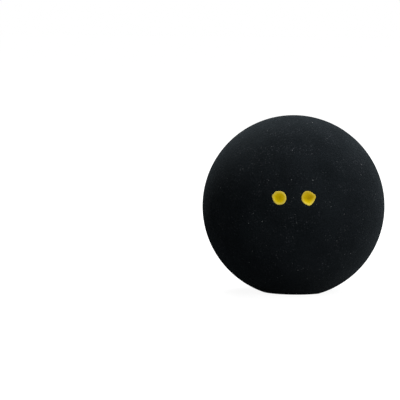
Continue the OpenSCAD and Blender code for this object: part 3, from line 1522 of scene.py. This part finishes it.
@dataclass(frozen=True)
class SoftBox:
    """A square lamp that faces the ball, at angles in degrees.

    Level 1 lights a surface that faces the lamp as it is coloured.
    """

    name: str
    azimuth: float
    elevation: float
    level: float
    size: float = 0.4
    distance: float = 0.6

    def build(self) -> None:
        """Makes the lamp."""
        lamp = bpy.data.lights.new(self.name, "AREA")
        lamp.shape, lamp.size = "SQUARE", self.size
        lamp.energy = self.level * math.pi**2 * self.distance**2
        lamp_object = bpy.data.objects.new(self.name, lamp)
        towards = direction(self.azimuth, self.elevation)
        lamp_object.location = towards * self.distance
        lamp_object.rotation_euler = towards.to_track_quat("Z", "Y").to_euler()
        bpy.context.scene.collection.objects.link(lamp_object)


@dataclass
class Studio:
    """The floor, the surroundings, the lamps and the camera. Angles are in degrees."""

    shape: Shape
    floor_height: float = -18.785 * MM
    # How much the floor falls for each metre to the right
    floor_fall: float = 0.01
    recess_gap: float = 0.05 * MM
    # Rings of the recess, in shares of its lip's radius, and of the floor round it, in metres
    recess_rings: tuple[float, ...] = (0.25, 0.5, 0.75, 1.0)
    floor_rings: tuple[float, ...] = (0.0065, 0.008, 0.012, 0.02, 0.04, 0.1, 0.3, 1.0, 3.0)
    floor_spokes: int = 96
    # The floor's glow by the ball, and the distances over which it comes up to 1
    floor_seen: float = 0.93
    floor_fade: tuple[float, float] = (0.03, 0.09)
    # How pale the floor is to the camera on top of its glow, and to the ball
    floor_lit: float = 0.15
    floor_bounce: float = 0.15
    surround: float = 0.01
    camera_azimuth: float = -0.2
    camera_elevation: float = 4.6
    camera_distance: float = 0.6
    camera_clip: tuple[float, float] = (0.01, 20.0)
    focal_pixels: float = 2730.5
    frame_pixels: int = 400
    ball_pixel: tuple[float, float] = (293.41, 206.11)
    # The sensor's width in mm
    sensor: float = 36.0
    lamps: tuple[SoftBox, ...] = (
        SoftBox("front_softbox", azimuth=40.0, elevation=24.0, level=0.94),
        SoftBox("fill_softbox", azimuth=-45.0, elevation=5.0, level=0.17),
        SoftBox("right_softbox", azimuth=90.0, elevation=60.0, level=0.7),
        SoftBox("back_softbox", azimuth=182.0, elevation=58.0, level=2.08, size=0.5),
    )

    @staticmethod
    def _seen_directly(graph: Graph) -> Socket:
        """Tells the rays that show a background from those that light the ball.

        Args:
            graph: the material's or the world's nodes.

        Returns:
            1 for rays from the camera, in a reflection or through glass, and 0 for the rest.
        """
        path = graph.add("ShaderNodeLightPath").outputs
        seen = graph.math("MAXIMUM", path["Is Camera Ray"], path["Is Glossy Ray"])
        return graph.math("MAXIMUM", seen, path["Is Transmission Ray"])

    def _floor_material(self) -> bpy.types.Material:
        """White to the eye but for soft shadows, and dim to the ball.

        Returns:
            The material.
        """
        material = bpy.data.materials.new("PaleFloor")
        material.use_nodes = True
        graph = Graph(material.node_tree)
        graph.tree.nodes.clear()
        away = graph.length(graph.add("ShaderNodeTexCoord").outputs["Object"])
        strength = graph.ramp(away, *self.floor_fade, self.floor_seen, 1.0)
        glow = graph.add("ShaderNodeEmission", {"Color": grey(1.0), "Strength": strength})
        shade = graph.add("ShaderNodeBsdfDiffuse", {"Color": grey(self.floor_lit)})
        shown = graph.add("ShaderNodeAddShader", {0: glow.outputs[0], 1: shade.outputs[0]})
        dim = graph.add("ShaderNodeBsdfDiffuse", {"Color": grey(self.floor_bounce)})
        seen = self._seen_directly(graph)
        top = graph.add("ShaderNodeMixShader", {0: seen, 1: dim.outputs[0], 2: shown.outputs[0]})
        clear = graph.add("ShaderNodeBsdfTransparent")
        below = graph.add("ShaderNodeNewGeometry").outputs["Backfacing"]
        both = graph.add("ShaderNodeMixShader", {0: below, 1: top.outputs[0], 2: clear.outputs[0]})
        output = graph.add("ShaderNodeOutputMaterial")
        graph.feed(output.inputs["Surface"], both.outputs[0])
        return material

    def _floor(self) -> None:
        """Makes the floor, which falls a little to the right, with a recess that the ball stands in."""
        bowl = self.shape.radius + self.recess_gap
        lip = math.sqrt(bowl**2 - self.floor_height**2)
        profile = [(share * lip, -math.sqrt(bowl**2 - (share * lip) ** 2)) for share in self.recess_rings]
        profile += [(r, self.floor_height) for r in self.floor_rings if r > lip]
        count = self.floor_spokes
        angle = np.arange(count) * 2 * math.pi / count
        right, back = np.cos(angle), np.sin(angle)
        rings = [
            np.stack([r * right, r * back, z - self.floor_fall * r * right], axis=1) for r, z in profile
        ]
        points = np.vstack([*rings, [[0.0, 0.0, -bowl]]])
        faces = fan(len(points) - 1, 0, count) + ring_faces(len(rings), count)
        mesh = plain_mesh("floor", points, faces)
        mesh.materials.append(self._floor_material())
        link_object("floor", mesh)

    def _world(self) -> None:
        """White wherever it is seen, and dim where it only lights the ball."""
        world = bpy.data.worlds.new("surround")
        bpy.context.scene.world = world
        world.use_nodes = True
        graph = Graph(world.node_tree)
        graph.tree.nodes.clear()
        shown = graph.add("ShaderNodeBackground", {"Color": grey(1.0), "Strength": 1.0})
        dim = graph.add("ShaderNodeBackground", {"Color": grey(1.0), "Strength": self.surround})
        seen = self._seen_directly(graph)
        mixed = graph.add("ShaderNodeMixShader", {0: seen, 1: dim.outputs[0], 2: shown.outputs[0]})
        output = graph.add("ShaderNodeOutputWorld")
        graph.feed(output.inputs["Surface"], mixed.outputs[0])

    def _camera(self) -> None:
        """Makes the level camera that puts the ball's centre on its pixel."""
        camera = bpy.data.cameras.new("camera")
        camera.sensor_width = self.sensor
        camera.lens = self.sensor * self.focal_pixels / self.frame_pixels
        camera.clip_start, camera.clip_end = self.camera_clip
        right = self.ball_pixel[0] - self.frame_pixels / 2
        up = self.frame_pixels / 2 - self.ball_pixel[1]
        sight = math.sqrt(right**2 + up**2 + self.focal_pixels**2)
        sink = -sight * math.sin(math.radians(self.camera_elevation))
        tilt = math.asin(sink / math.hypot(self.focal_pixels, up)) - math.atan2(up, self.focal_pixels)
        ahead = self.focal_pixels * math.cos(tilt) - up * math.sin(tilt)
        heading = math.atan2(right, ahead) + math.radians(self.camera_azimuth)
        camera_object = bpy.data.objects.new("camera", camera)
        back = direction(self.camera_azimuth, self.camera_elevation)
        camera_object.location = back * self.camera_distance
        camera_object.rotation_euler = (math.pi / 2 + tilt, 0.0, heading)
        bpy.context.scene.collection.objects.link(camera_object)
        bpy.context.scene.camera = camera_object

    def build(self) -> None:
        """Makes all of it."""
        bpy.context.scene.view_settings.view_transform = "Standard"
        self._floor()
        self._world()
        for lamp in self.lamps:
            lamp.build()
        self._camera()
        LOG.info("studio: %d lamps, ball at pixel %s", len(self.lamps), self.ball_pixel)


def main() -> None:
    """Builds the finishes, the pieces and the studio."""
    logging.basicConfig(level=logging.INFO, format="%(name)s: %(message)s")
    effects = Effects()
    shape = Shape.from_frame()
    LOG.info("ball: radius %.5f, cavity %.5f, rim %.6f", shape.radius, shape.cavity, shape.rim)
    HalfShells(shape).build(BuffedRubber().material(effects))
    CementRing(shape).build(RubberCement().material(effects))
    dot_ink = DotInk()
    SpeedDots(shape).build(dot_ink.material(effects), dot_ink)
    PrintedMark(shape).build(PrintInk().material(effects))
    Studio(shape).build()


if __name__ == "__main__":
    main()
